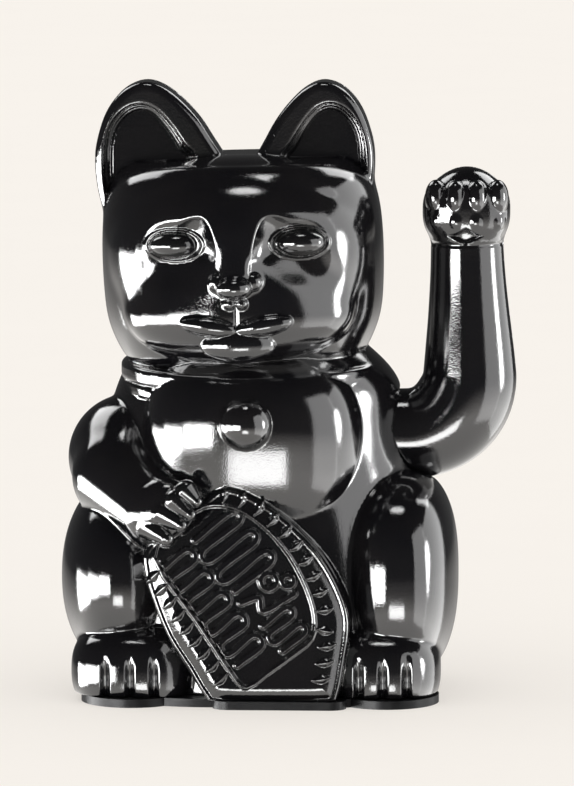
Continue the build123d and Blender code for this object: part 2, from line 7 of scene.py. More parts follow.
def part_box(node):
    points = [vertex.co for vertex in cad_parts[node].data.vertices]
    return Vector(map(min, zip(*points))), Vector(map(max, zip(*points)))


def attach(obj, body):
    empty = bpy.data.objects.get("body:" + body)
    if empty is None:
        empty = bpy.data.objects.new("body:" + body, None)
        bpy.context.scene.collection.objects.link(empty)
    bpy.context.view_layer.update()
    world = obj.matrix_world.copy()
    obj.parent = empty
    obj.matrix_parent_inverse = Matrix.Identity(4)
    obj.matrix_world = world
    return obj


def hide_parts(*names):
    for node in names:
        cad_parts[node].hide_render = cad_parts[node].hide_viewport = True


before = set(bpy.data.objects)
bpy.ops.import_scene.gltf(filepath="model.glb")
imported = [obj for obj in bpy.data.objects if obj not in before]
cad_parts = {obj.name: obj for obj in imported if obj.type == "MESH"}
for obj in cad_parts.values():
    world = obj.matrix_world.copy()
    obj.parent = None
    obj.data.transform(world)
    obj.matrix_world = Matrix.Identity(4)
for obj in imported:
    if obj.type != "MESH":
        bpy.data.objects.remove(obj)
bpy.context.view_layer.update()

# The cat's skin is modelled in millimetres as distance fields: each shape below gives, for an array of
# points, how far they are outside its surface. Fields are joined and cut softly, turned into quads on a
# grid, and every vertex is then slid onto the true surface and given the surface's own normal.

MM = 0.001
COARSE = 0.7
FAR = 30.0


# ---------------------------------------------------------------- fields

def smooth(amount):
    """A soft step: 0 to 1 with level ends."""
    return amount * amount * (3 - 2 * amount)


def join(a, b, soft):
    """Union of two fields with a fillet about soft wide."""
    overlap = np.maximum(soft - np.abs(a - b), 0) / soft
    return np.minimum(a, b) - overlap ** 3 * soft / 6


def cut(a, b, soft):
    """Field a with b taken away, and a round edge about soft wide."""
    return -join(-a, b, soft)


def overlap_of(a, b, soft):
    """What a and b share, with a round edge about soft wide."""
    return -join(-a, -b, soft)


def turned(points, middle, degrees, axis):
    """Points as seen from a middle, in a frame turned about one axis."""
    spin = Matrix.Rotation(radians(degrees), 3, axis)
    return (points - np.array(middle)) @ np.array(spin)


def ball(points, middle, radii):
    """An ellipsoid."""
    offset = (points - np.array(middle)) / np.array(radii)
    near = np.sqrt((offset ** 2).sum(1)) + 1e-9
    slope = np.sqrt(((offset / np.array(radii)) ** 2).sum(1)) + 1e-9
    return near * (near - 1) / slope


def block(points, middle, radii, power):
    """A rounded block: an ellipsoid's cousin with flatter faces. power is 2 for an ellipsoid."""
    offset = np.abs((points - np.array(middle)) / np.array(radii))
    reach = ((offset ** power).sum(1) + 1e-12) ** (1 / power)
    return (reach - 1) * min(radii)


def spindle(points, start, end, start_r, end_r):
    """A rod with round ends whose radius runs from start_r to end_r."""
    start = np.array(start, float)
    run = np.array(end, float) - start
    along = np.clip(((points - start) @ run) / (run @ run), 0, 1)
    away = np.linalg.norm(points - start - along[:, None] * run, axis=1)
    return away - (start_r + (end_r - start_r) * along)


def curve_through(knots):
    """A smooth function through (place, value) knots: the natural cubic spline."""
    x, y = np.array(knots, float).T
    gap = np.diff(x)
    size = len(x)
    system = np.eye(size)
    bend = np.zeros(size)
    for i in range(1, size - 1):
        system[i, i - 1:i + 2] = gap[i - 1], 2 * (gap[i - 1] + gap[i]), gap[i]
        bend[i] = 6 * ((y[i + 1] - y[i]) / gap[i] - (y[i] - y[i - 1]) / gap[i - 1])
    second = np.linalg.solve(system, bend)

    def value(place):
        place = np.clip(place, x[0], x[-1])
        i = np.clip(np.searchsorted(x, place) - 1, 0, size - 2)
        before, after = x[i + 1] - place, place - x[i]
        h = gap[i]
        curved = second[i] * (before ** 3 / h - h * before) + second[i + 1] * (after ** 3 / h - h * after)
        return curved / 6 + (y[i] * before + y[i + 1] * after) / h
    return value


def column(points, sections, power):
    """An upright form through sections (height, middle x, middle y, half width, half depth)."""
    height = points[:, 2]
    middle_x, middle_y, wide, deep = (
        curve_through([(s[0], s[k]) for s in sections])(height) for k in range(1, 5))
    x = np.abs(points[:, 0] - middle_x) / wide
    y = np.abs(points[:, 1] - middle_y) / deep
    reach = (x ** power + y ** power + 1e-12) ** (1 / power)
    return (reach - 1) * np.minimum(wide, deep) * 0.9


def outline_distance(flat, corners):
    """Signed distance of flat points from a closed outline, negative inside."""
    nearest = np.full(len(flat), 1e9)
    inside = np.ones(len(flat))
    for a, b in zip(corners, np.roll(corners, -1, axis=0)):
        run = b - a
        rel = flat - a
        along = np.clip((rel @ run) / (run @ run), 0, 1)
        gap = rel - along[:, None] * run
        nearest = np.minimum(nearest, (gap ** 2).sum(1))
        up = flat[:, 1] >= a[1]
        down = flat[:, 1] < b[1]
        side = run[0] * rel[:, 1] > run[1] * rel[:, 0]
        flip = (up & down & side) | (~up & ~down & ~side)
        inside = np.where(flip, -inside, inside)
    return np.sqrt(nearest) * inside


def line_distance(flat, corners):
    """Distance of flat points from an open line."""
    nearest = np.full(len(flat), 1e9)
    for a, b in zip(corners[:-1], corners[1:]):
        run = b - a
        along = np.clip(((flat - a) @ run) / (run @ run), 0, 1)
        nearest = np.minimum(nearest, ((flat - a - along[:, None] * run) ** 2).sum(1))
    return np.sqrt(nearest)


def rounded(points_list, pieces=8, closed=True):
    """A smooth line through points: a Catmull-Rom curve with so many pieces between two points."""
    p = np.array(points_list, float)
    if closed:
        p = np.vstack([p[-1:], p, p[:2]])
    else:
        p = np.vstack([2 * p[:1] - p[1:2], p, 2 * p[-1:] - p[-2:-1]])
    t = np.arange(pieces)[:, None] / pieces
    spans = []
    for a, b, c, d in zip(p[:-3], p[1:-2], p[2:-1], p[3:]):
        spans.append(0.5 * (2 * b + (c - a) * t + (2 * a - 5 * b + 4 * c - d) * t ** 2
                            + (3 * b - a - 3 * c + d) * t ** 3))
    line = np.vstack(spans)
    return line if closed else np.vstack([line, p[-2:-1]])


def only_in(points, low, high, field):
    """A field worked out only inside a box, and far away everywhere else."""
    inside = np.all((points > np.array(low)) & (points < np.array(high)), axis=1)
    result = np.full(len(points), FAR)
    if inside.any():
        result[inside] = field(points[inside])
    return result


# ---------------------------------------------------------------- meshing

def sample(field, low, counts, step):
    """Field values on a grid, worked out closely only in blocks that the surface may pass through."""
    block = 8
    blocks = -(-counts // block)
    span = block * step
    index = np.stack(np.meshgrid(*[np.arange(n) for n in blocks], indexing="ij"), -1).reshape(-1, 3)
    middles = low + (index + 0.5) * span - step / 2
    rough = field(middles)
    values = np.repeat(np.repeat(np.repeat(rough.reshape(blocks), block, 0), block, 1), block, 2)
    near = index[np.abs(rough) < span * 1.5 + 2.0]
    inner = np.stack(np.meshgrid(*[np.arange(block)] * 3, indexing="ij"), -1).reshape(-1, 3)
    for part in np.array_split(near, max(1, len(near) // 2000)):
        nodes = (part[:, None, :] * block + inner[None]).reshape(-1, 3)
        values[tuple(nodes.T)] = field(low + nodes * step)
    return values


CELL = [(i, j, k) for i in (0, 1) for j in (0, 1) for k in (0, 1)]
CELL_EDGES = [(a, b) for a in CELL for b in CELL
              if sum(b) - sum(a) == 1 and all(m >= n for m, n in zip(b, a))]


def surface_net(field, low, high, step):
    """Quads of a field's zero surface, one vertex for each grid cell that the surface passes through."""
    low, high = np.array(low, float), np.array(high, float)
    counts = np.ceil((high - low) / step).astype(int) + 1
    values = sample(field, low, counts, step)
    inside = values < 0
    nx, ny, nz = values.shape
    filled = sum(inside[i:nx - 1 + i, j:ny - 1 + j, k:nz - 1 + k].astype(np.int8) for i, j, k in CELL)
    active = (filled > 0) & (filled < 8)
    cells = np.argwhere(active)
    number = np.full(active.shape, -1)
    number[active] = np.arange(len(cells))
    total = np.zeros((len(cells), 3))
    hits = np.zeros(len(cells))
    for a, b in CELL_EDGES:
        start, end = values[tuple((cells + a).T)], values[tuple((cells + b).T)]
        crossing = (start < 0) != (end < 0)
        t = np.where(crossing, start / np.where(crossing, start - end, 1), 0)
        place = np.array(a) + t[:, None] * (np.array(b) - np.array(a))
        total += np.where(crossing[:, None], place, 0)
        hits += crossing
    points = low + (cells + total / hits[:, None]) * step
    quads = []
    for axis in range(3):
        u, v = (axis + 1) % 3, (axis + 2) % 3
        first = np.moveaxis(inside, (axis, u, v), (0, 1, 2))[:-1, 1:-1, 1:-1]
        second = np.moveaxis(inside, (axis, u, v), (0, 1, 2))[1:, 1:-1, 1:-1]
        at = np.argwhere(first != second)
        leaving = first[tuple(at.T)]
        ring = []
        for du, dv in ((0, 0), (1, 0), (1, 1), (0, 1)):
            cell = np.empty_like(at)
            cell[:, axis], cell[:, u], cell[:, v] = at[:, 0], at[:, 1] + du, at[:, 2] + dv
            ring.append(number[tuple(cell.T)])
        ring = np.stack(ring, 1)
        ring[~leaving] = ring[~leaving][:, ::-1]
        quads.append(ring)
    return points, np.vstack(quads)


TETRA = np.array([(1, 1, 1), (1, -1, -1), (-1, 1, -1), (-1, -1, 1)], float)


def slope_of(field, points, reach=0.04):
    """Field value and gradient at points."""
    values = [field(points + corner * reach) for corner in TETRA]
    slope = sum(value[:, None] * corner for value, corner in zip(values, TETRA)) / (4 * reach)
    return sum(values) / 4, slope


def settle(field, points, most, rounds=3):
    """Slide points onto the zero surface and give the normals there."""
    for _ in range(rounds):
        value, slope = slope_of(field, points)
        move = -value / np.maximum((slope ** 2).sum(1), 0.05)
        points = points + np.clip(move, -most, most)[:, None] * slope
    slope = slope_of(field, points)[1]
    return points, slope / np.maximum(np.linalg.norm(slope, axis=1), 1e-9)[:, None]


def refine(points, quads, chosen):
    """Split the chosen quads in four. Neighbours take the new edge points as extra corners."""
    fine, rest = quads[chosen], quads[~chosen]
    edges = np.stack([fine, np.roll(fine, -1, axis=1)], -1)
    keys = np.sort(edges, axis=-1)
    size = len(points)
    codes, where = np.unique(keys[..., 0] * size + keys[..., 1], return_inverse=True)
    where = where.reshape(fine.shape) + size
    ends = np.stack([codes // size, codes % size], 1)
    centres = np.arange(len(fine)) + size + len(codes)
    points = np.vstack([points, points[ends].mean(1), points[fine].mean(1)])
    small = [np.stack([fine[:, k], where[:, k], centres, where[:, k - 1]], 1) for k in range(4)]
    rest_edges = np.sort(np.stack([rest, np.roll(rest, -1, axis=1)], -1), axis=-1)
    rest_codes = rest_edges[..., 0] * size + rest_edges[..., 1]
    slot = np.clip(np.searchsorted(codes, rest_codes), 0, max(len(codes) - 1, 0))
    touched = codes[slot] == rest_codes if len(codes) else np.zeros(rest_codes.shape, bool)
    seam = touched.any(1)
    many = []
    for quad, hit, place in zip(rest[seam], touched[seam], slot[seam]):
        loop = []
        for k in range(4):
            loop.append(quad[k])
            if hit[k]:
                loop.append(place[k] + size)
        many.append(loop)
    return points, np.vstack([rest[~seam]] + small), many


def skin(name, field, low, high, body, nodes, material, step=COARSE, fine=()):
    """A piece made from a field, riding on a body in place of CAD nodes."""
    points, quads = surface_net(field, low, high, step)
    points, _ = settle(field, points, step * 0.5, 1)
    many = []
    for where in fine:
        points, quads, seam = refine(points, quads, where(points[quads].mean(1)))
        many += seam
    points, normals = settle(field, points, step * 0.35)
    mesh = bpy.data.meshes.new(name)
    mesh.from_pydata((points * MM).tolist(), [], quads.tolist() + many)
    mesh.polygons.foreach_set("use_smooth", [True] * len(mesh.polygons))
    mesh.normals_split_custom_set_from_vertices(normals.tolist())
    mesh.materials.append(material)
    piece = bpy.data.objects.new(name, mesh)
    bpy.context.collection.objects.link(piece)
    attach(piece, body)
    if nodes:
        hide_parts(*nodes)
    print(name, len(points), "points", len(mesh.polygons), "faces", flush=True)
    return piece


# ---------------------------------------------------------------- the cat's shape, in millimetres

axle_low, axle_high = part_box("axle")
PIVOT = (np.array(axle_low) + np.array(axle_high)) / 2 / MM
SEAM_Y = PIVOT[1]
PLATE_TOP = 2.0
HEAD = (-5.5, -3.0, 106.0)
HEAD_LEAN = -1.5
SIDES = (-1, 1)

# Sections of the body and, from the head's middle, of the skull: height, middle x and y, half width, half depth.
TORSO = [(0, 0, 0.5, 39.0, 34.6), (16, 0, 1.0, 40.4, 35.0), (36, -0.5, 2.8, 40.4, 35.8),
         (54, -1.5, 2.4, 38.4, 34.1), (66, -2.5, 1.6, 36.2, 32.0), (76, -1.7, 0.6, 34.1, 29.6),
         (88, -4.5, -1, 25, 24)]
TORSO_POWER = curve_through([(0, 2.7), (30, 2.4), (60, 2.05), (88, 2.0)])
SKULL = [(-30, 0, 3, 20, 19), (-26, 0, 3, 26.5, 24.5), (-20, 0, 3, 31.2, 28.6), (-15, 0, 3, 33.1, 30.4),
         (-8, 0, 3, 34.1, 31.8), (0, 0, 3, 34.4, 32.3), (8, 0, 3, 34.2, 32.3), (16, 0, 3, 33, 30.5),
         (22, 0, 3, 29.5, 27.5), (28, 0, 3, 20, 19)]
SKULL_POWER = 2.35
SKULL_TOP = 24.3

EAR_OUTLINE = rounded([(8, 8), (29, 6), (32.4, 12), (34.0, 19), (34.3, 26), (33.3, 31.4), (31.4, 36.6),
                       (28.6, 40.6), (25.2, 43.1), (21.3, 43.9), (17.2, 42.3), (13.2, 38.9), (9.4, 34.4),
                       (6.5, 29.6), (3.9, 25.2), (2.2, 22.0)], 4)
EAR_DISH = rounded([(14, 8), (30.6, 7), (31.9, 16), (32.2, 24), (31.7, 30), (30, 34.2), (27, 37.4), (23.4, 38.6),
                    (19.8, 37.4), (16.4, 33.8), (13.1, 28.6), (10.2, 23)], 4)
EAR_MIDDLE_Y = 2.0
EAR_HALF_THICK = 6.0


def bump(distance, width):
    """A round-topped ridge or a round groove, 1 on the line and 0 beyond its width."""
    return np.clip(1 - (distance / width) ** 2, 0, 1) ** 2


def ears(p):
    """Both ears, upright slabs with a dish in front. The one on the raised arm's side is a little smaller."""
    near_arm = p[:, 0] > 0
    flat = np.stack([np.abs(p[:, 0]) * np.where(near_arm, 1.045, 0.97),
                     p[:, 2] * np.where(near_arm, 1.022, 1.0)], 1)
    edge = outline_distance(flat, EAR_OUTLINE)
    dish = outline_distance(flat, EAR_DISH)
    round_edge = 2.0
    depth = np.abs(p[:, 1] - EAR_MIDDLE_Y) - EAR_HALF_THICK + round_edge
    rim = edge + round_edge
    slab = np.hypot(np.maximum(rim, 0), np.maximum(depth, 0)) + np.minimum(np.maximum(rim, depth), 0)
    slab = slab - round_edge
    floor = -0.6 + 0.02 * (p[:, 2] - 20)
    bowl = np.maximum(dish, p[:, 1] - floor)
    slab = cut(slab, bowl, 1.1)
    return slab + 0.35 * bump(np.abs(dish + 1.3), 0.7) * (p[:, 1] < EAR_MIDDLE_Y)


EYES = {-1: (-14.8, -27.0, 6.2), 1: (15.6, -27.0, 6.2)}


def eye(p, side):
    """Distance from one eye's ball, and from the thin rim round it."""
    q = p - np.array(EYES[side])
    across = np.sqrt((q[:, 0] / 6.9) ** 2 + (q[:, 2] / 3.95) ** 2 + 1e-9)
    return ball(q, (0, 0, 0), (6.1, 4.7, 3.35)), np.abs(across - 1) * 4.9


def nose(p):
    """A soft-edged bridge between the eye sockets, with a round tip and two wings."""
    z = p[:, 2]
    front = 32.9 + 0.2 * (15 - z) - 0.05 * np.maximum(z - 9, 0) ** 2
    wide = 3.6 + 0.7 * smooth(np.clip((z - 2) / 11, 0, 1))
    f = overlap_of(np.abs(p[:, 0]) - wide, -p[:, 1] - front + 0.085 * p[:, 0] ** 2, 1.4)
    f = overlap_of(f, np.maximum(z - 18.5, -5.0 - z), 2.0)
    f = join(f, ball(p, (-0.3, -35.0, -3.9), (4.4, 4.2, 2.9)), 1.2)
    for side in SIDES:
        f = join(f, ball(p, (side * 4.4, -33.2, -2.7), (2.1, 2.3, 2.2)), 1.0)
        f = join(f, ball(p, (side * 1.4, -35.0, -7.7), (1.6, 1.5, 1.4)), 0.5)
    return f


def socket(p, side, middle, radii, power, yaw):
    """The hollow that one eye sits in, squarish, falling outwards and turned to follow the cheek."""
    q = turned(p, middle, side * 9, "Y")
    c, s = cos(radians(yaw)), side * sin(radians(yaw))
    local = (q[:, 0] * c + q[:, 1] * s, q[:, 1] * c - q[:, 0] * s, q[:, 2])
    x, y, z = (np.abs(value) / radius for value, radius in zip(local, radii))
    return (np.sqrt((x ** power + z ** power) ** (2 / power) + y ** 2 + 1e-12) - 1) * min(radii)


def face(p):
    """The face mass with its sockets, eyes, nose, muzzle and lips."""
    lower = p[:, 2] < 3.0
    tall = np.where(lower, 27.0, 23.0)
    middle_band = np.sqrt((p[:, 0] / 32.3) ** 2 + ((p[:, 1] + 8) / 26.4) ** 2 + 1e-9)
    f = ((middle_band ** 2.25 + np.abs((p[:, 2] - 3.0) / tall) ** 2.25) ** (1 / 2.25) - 1) * 25
    below = smooth(np.clip((5.0 - p[:, 2]) / 9.0, 0, 1))
    for side in SIDES:
        f = cut(f, socket(p, side, (side * 17.2, -38.2, 5.4), (13.4, 11.0, 10.4), 2.9, 26), 2.6 + 5 * below)
        f = cut(f, socket(p, side, (side * 13.6, -38.0, 6.8), (9.8, 10.0, 8.2), 5.0, 0), 0.6 + 6 * below)
    for side in SIDES:
        eyeball, rim = eye(p, side)
        f = join(f, eyeball, 0.3)
        f = f - 0.35 * bump(rim, 0.6) * (p[:, 1] < -20)
    f = join(f, ball(p, (0, -18.6, -12.4), (27.0, 15.4, 11.6)), 8.0)
    f = join(f, nose(p), 1.2)
    for side in SIDES:
        lip = turned(p, (side * 6.2, -32.6, -13.4), side * -9, "Y")
        f = join(f, ball(lip, (0, 0, 0), (7.6, 3.5, 2.7)), 0.5)
    f = join(f, ball(p, (0.2, -30.9, -18.0), (9.2, 4.8, 4.7)), 0.4)
    mirrored = np.stack([np.abs(p[:, 0]), p[:, 2]], 1)
    groove = line_distance(mirrored, np.array([(0.0, -8.6), (0.0, -13.6)]))
    return f + 0.3 * bump(groove, 0.8) * (p[:, 1] < -20)


def head(points):
    """Skull, ears and face, leaning a little."""
    p = turned(points, HEAD, HEAD_LEAN, "Y")
    skull = column(p, SKULL, SKULL_POWER)
    skull = overlap_of(skull, p[:, 2] - SKULL_TOP, 2.0)
    skull = join(skull, only_in(p, (-40, -8, 2), (40, 12, 48), ears), 1.4)
    return join(skull, only_in(p, (-36, -44, -30), (36, 6, 30), face), 0.7)


COLLAR = (-3.5, -1.5, 77.2)
COLLAR_R = 31.5


def collar(points):
    """Two bands round the neck, tilted forwards."""
    p = turned(points, COLLAR, 2.0, "X")
    radial = (np.sqrt((p[:, 0] / COLLAR_R) ** 2 + (p[:, 1] / COLLAR_R) ** 2 + 1e-9) - 1) * COLLAR_R

    def band(inset, height, half):
        across = np.maximum(np.abs(radial + inset) - 0.8, 0)
        along = np.maximum(np.abs(p[:, 2] - height) - half, 0)
        return np.hypot(across, along) - 1.2
    return join(band(1.7, 1.75, 0.95), band(2.2, -2.0, 0.55), 0.25)


COIN_FRONT = (0.0, -40.4, 25.0)
COIN_RECLINE = 6.0
COIN_OUTLINE = rounded([(-14.4, 48.9), (-10.6, 52.2), (-6.6, 53.2), (-1.2, 51.2), (5.4, 47.2), (11.4, 41.6),
                        (15.8, 36.6), (19.2, 31.0), (21.8, 24.6), (22.4, 19.0), (21.2, 10.5), (19.8, 3.4),
                        (17.4, 1.2), (4, 0.8), (-9.7, 1.0), (-12.8, 3.0), (-16.8, 9.4), (-22.0, 17.4),
                        (-25.7, 26.5), (-27.5, 33.0), (-27.4, 38.0), (-22, 44.0)], 3)
PANEL_RIGHT = [(-19.0, 44.6), (-13.5, 48.0), (-8.8, 48.8), (-3.4, 47.2), (2.3, 43.0), (7.7, 36.7), (11.6, 29.4),
               (13.6, 22.8), (13.0, 17.4), (8.0, 13.2), (2.0, 8.8), (-1.6, 6.2)]
PANEL_LEFT = [(-4.6, 7.4), (-14.6, 22.0), (-24.6, 36.6)]
PANEL = rounded(PANEL_RIGHT + PANEL_LEFT, 3)
RELIEF_MIDDLE = np.array((-5.6, 26.6))
RELIEF_TILT = radians(38.5)


def meander(left, right, top, bottom, turns):
    """A line that winds to and fro between two sides, downwards from top to bottom."""
    line = []
    for i, row in enumerate(np.linspace(top, bottom, turns)):
        line += [(left, row), (right, row)] if i % 2 == 0 else [(right, row), (left, row)]
    return line


def relief_lines():
    """Winding bands without meaning, which fill the panel."""
    across = np.array((cos(RELIEF_TILT), sin(RELIEF_TILT)))
    along = np.array((-sin(RELIEF_TILT), cos(RELIEF_TILT)))
    bands = [meander(-9.2, -1.6, 16.5, -13.0, 10), meander(1.4, 12.6, 17.0, 1.4, 6),
             meander(1.6, 8.6, -9.4, -17.0, 4), [(0.8, -1.8), (5.0, -3.4), (4.0, -6.8), (12.4, -8.0)]]
    lines = []
    for band in bands:
        flat = rounded(band, 5, False)
        lines.append(RELIEF_MIDDLE + flat[:, :1] * across + flat[:, 1:] * along)
    rings = [(RELIEF_MIDDLE + across * u + along * v, r) for u, v, r in ((9.4, -1.8, 1.9), (13.0, -4.6, 1.4))]
    return lines, rings


def border_strokes():
    """Short tapered strokes that stand outwards round the panel."""
    strokes = []
    right = rounded(PANEL_RIGHT[1:9], 4, False)
    left = np.array(PANEL_LEFT[::-1], float)
    for line, spacing, start_at, long in ((right, 3.9, 5.0, 3.6), (left, 3.7, 3.0, 3.8)):
        steps = np.linalg.norm(np.diff(line, axis=0), axis=1)
        run = np.concatenate([[0], np.cumsum(steps)])
        for place in np.arange(start_at, run[-1] - 0.5, spacing):
            i = np.searchsorted(run, place) - 1
            direction = (line[i + 1] - line[i]) / steps[i]
            if line is right:
                outward = np.array((-direction[1], direction[0]))
            else:
                outward = np.array((direction[1], -direction[0])) * 0.93 + np.array((0, -0.2))
            point = line[i] + direction * (place - run[i])
            strokes.append((point + outward * 1.3, point + outward * (1.3 + long)))
    for x, z in ((15.2, 15.2), (14.6, 11.2), (13.8, 7.2)):
        strokes.append((np.array((x, z)), np.array((x + 4.0, z + 0.7))))
    return strokes


RELIEF, RINGS = relief_lines()
STROKES = border_strokes()


def coin(points):
    """The coin, whose flat face carries a framed panel with winding relief and strokes round its edge."""
    lean = radians(COIN_RECLINE)
    rel = points - np.array(COIN_FRONT)
    out = -rel[:, 1] * cos(lean) + rel[:, 2] * sin(lean)
    flat = points[:, [0, 2]]
    edge = outline_distance(flat, COIN_OUTLINE)
    bevel = 1.5 * smooth(np.clip((edge + 4.6) / 4.6, 0, 1))
    solid = overlap_of(edge, np.maximum(out + bevel, -out - 16), 1.5)
    shown = out > -6
    solid = solid - 0.4 * bump(np.abs(edge + 0.8), 0.8) * shown
    panel = outline_distance(flat, PANEL)
    solid = solid + 0.6 * smooth(np.clip(0.5 - panel / 0.7, 0, 1)) * shown
    solid = solid - 0.35 * bump(np.abs(panel - 0.5), 0.6) * shown
    relief = np.full(len(points), 1e3)
    for line in RELIEF:
        relief = np.minimum(relief, line_distance(flat, line))
    for middle, radius in RINGS:
        relief = np.minimum(relief, np.abs(np.linalg.norm(flat - middle, axis=1) - radius))
    solid = solid - 0.8 * smooth(np.clip((1.05 - relief) / 0.6, 0, 1)) * shown * (panel < -0.6)
    for start, end in STROKES:
        run = end - start
        along = np.clip(((flat - start) @ run) / (run @ run), 0, 1)
        away = np.linalg.norm(flat - start - along[:, None] * run, axis=1)
        solid = solid - 0.8 * bump(away, 0.35 + 0.95 * np.sin(pi * along)) * shown
    return solid


# Each finger's root and tip, and its radius at the root and at the tip.
FINGERS = [((-17.2, -39.2, 52.6), (-14.6, -40.2, 50.4), 3.0, 1.5),
           ((-19.6, -39.6, 50.4), (-16.2, -41.2, 47.4), 3.0, 1.6),
           ((-22.8, -39.0, 47.2), (-18.4, -41.5, 44.8), 3.2, 1.7),
           ((-26.4, -37.2, 44.0), (-21.8, -41.0, 41.4), 3.4, 1.8)]
TOE_GROOVES = {-1: (-37.0, -31.0, -25.2), 1: (24.6, 30.4, 36.2)}


def right_arm(p):
    """The arm that holds the coin: shoulder, forearm, palm and four fingers."""
    f = ball(p, (-33.0, -4.0, 57.2), (15.2, 19.5, 15.2))
    f = join(f, spindle(p, (-34.8, -16.5, 53.5), (-24.6, -31.6, 46.6), 11.6, 9.2), 4.0)
    f = join(f, ball(p, (-22.2, -35.0, 48.2), (7.0, 5.8, 7.2)), 2.0)
    for start, end, root_r, tip_r in FINGERS:
        f = join(f, spindle(p, start, end, root_r, tip_r), 0.5)
    return f


def leg(p, side):
    """Thigh, foot and toes of one side."""
    if side < 0:
        f = block(p, (-34.6, -6.0, 28.8), (15.0, 31.0, 23.6), 2.15)
        foot = block(p, (-30.4, -22.3, 7.4), (15.8, 17.2, 11.8), 2.6)
    else:
        f = block(p, (33.4, -6.0, 29.0), (14.1, 31.0, 25.6), 2.5)
        foot = block(p, (30.0, -22.3, 7.4), (13.9, 17.2, 11.8), 2.6)
    toes = smooth(np.clip((14.0 - p[:, 2]) / 8, 0, 1)) * (p[:, 1] < -28)
    for x in TOE_GROOVES[side]:
        foot = foot + 1.3 * bump(np.abs(p[:, 0] - x), 1.5) * toes
    return join(f, foot, 1.0)


def cat(points):
    """The whole moulded cat without its raised arm."""
    p = points
    f = column(p, TORSO, TORSO_POWER(p[:, 2]))
    f = np.maximum(f, p[:, 2] - 88)
    f = join(f, block(turned(p, (-2.2, -11.2, 62.4), 8, "X"), (0, 0, 0), (27.2, 25.6, 25.0), 2.7), 0.7)
    for side in SIDES:
        low, high = ((-60, -50, -5), (-8, 35, 60)) if side < 0 else ((8, -50, -5), (60, 35, 60))
        f = join(f, only_in(p, low, high, lambda q: leg(q, side)), 1.2)
    f = join(f, only_in(p, (-60, -55, 25), (-2, 30, 85), right_arm), 1.0)
    f = join(f, only_in(p, (-40, -55, -8), (32, -18, 66), coin), 0.7)
    f = join(f, only_in(p, (-45, -45, 64), (40, 42, 90), collar), 0.5)
    f = join(f, ball(p, (-2.9, -37.6, 68.8), (6.4, 6.4, 6.4)), 0.4)
    f = join(f, only_in(p, (-60, -60, 72), (50, 60, 160), head), 0.5)
    socket = np.maximum(np.hypot(p[:, 1] - SEAM_Y, p[:, 2] - PIVOT[2]) - 11.7, 24.4 - p[:, 0])
    f = cut(f, socket, 0.6)
    return overlap_of(f, PLATE_TOP - p[:, 2], 0.6)


def cat_front(points):
    """The front half of the cat."""
    return overlap_of(cat(points), points[:, 1] - SEAM_Y, 0.3)


def cat_back(points):
    """The back half of the cat."""
    return overlap_of(cat(points), SEAM_Y - points[:, 1], 0.3)


# ---------------------------------------------------------------- the raised arm

ARM_ROOT_X = 25.0
ELBOW_X = 35.0
UPRIGHT_X = 50.0
ARM_SIZE = curve_through([(0, 11.0), (10, 11.0), (24, 11.8), (36, 11.2), (48, 10.0), (62, 9.0), (68, 8.9),
                          (76, 9.3)])
PAW_TOES_X = (42.5, 46.9, 51.6, 56.2)


def raised_arm(p):
    """The bent tube of the raised arm, with its paw, finger bumps and the hollow in the palm."""
    bend = UPRIGHT_X - ELBOW_X
    elbow_z = PIVOT[2] + bend
    depth = p[:, 1] - SEAM_Y
    x, z = p[:, 0], p[:, 2]
    root = np.sqrt((z - PIVOT[2]) ** 2 + depth ** 2 + np.maximum(x - ELBOW_X, 0) ** 2)
    root_run = np.clip(x - ARM_ROOT_X, 0, 10)
    turn = np.clip(np.arctan2(x - ELBOW_X, elbow_z - z), 0, pi / 2)
    arc_x, arc_z = ELBOW_X + bend * np.sin(turn), elbow_z - bend * np.cos(turn)
    arc = np.sqrt((x - arc_x) ** 2 + (z - arc_z) ** 2 + depth ** 2)
    arc_run = 10 + bend * turn
    up_top = 119.0
    climb = np.clip(z, elbow_z, up_top)
    lean = UPRIGHT_X - 0.8 * smooth(np.clip((climb - elbow_z) / 40, 0, 1))
    up = np.sqrt((x - lean) ** 2 + (z - climb) ** 2 + depth ** 2)
    up_run = 10 + bend * pi / 2 + climb - elbow_z
    distances = np.stack([root, arc, up])
    runs = np.stack([root_run, arc_run, up_run])
    best = np.argmin(distances, axis=0)
    every = np.arange(len(p))
    f = distances[best, every] - ARM_SIZE(runs[best, every])
    f = join(f, block(p, (49.1, SEAM_Y, 117.4), (10.7, 9.8, 8.3), 2.7), 2.4)
    for x_middle in PAW_TOES_X:
        bulge = 9.8 * np.sqrt(1 - ((x_middle - 49.1) / 11.6) ** 2)
        spread = (x_middle - 49.1) * 0.1
        f = join(f, ball(p, (x_middle + spread, SEAM_Y - bulge + 2.4, 121.2), (2.7, 3.4, 4.3)), 0.4)
        f = join(f, ball(p, (x_middle, SEAM_Y - bulge + 2.3, 115.6), (2.6, 2.9, 2.9)), 0.4)
    pad = np.abs(x - 49.2) * 0.5 + np.abs(z - 111.9)
    f = f + 0.9 * smooth(np.clip((2.4 - pad) / 1.4, 0, 1)) * (depth < 0)
    wrist = np.abs(z - 109.6) * (depth < 0) + FAR * (depth >= 0)
    f = f + 0.3 * bump(wrist, 0.9)
    return overlap_of(f, ARM_ROOT_X - x, 0.8)


def arm_front(points):
    """The front half of the raised arm."""
    return overlap_of(raised_arm(points), points[:, 1] - SEAM_Y, 0.25)


def arm_back(points):
    """The back half of the raised arm."""
    return overlap_of(raised_arm(points), SEAM_Y - points[:, 1], 0.25)


# ---------------------------------------------------------------- materials

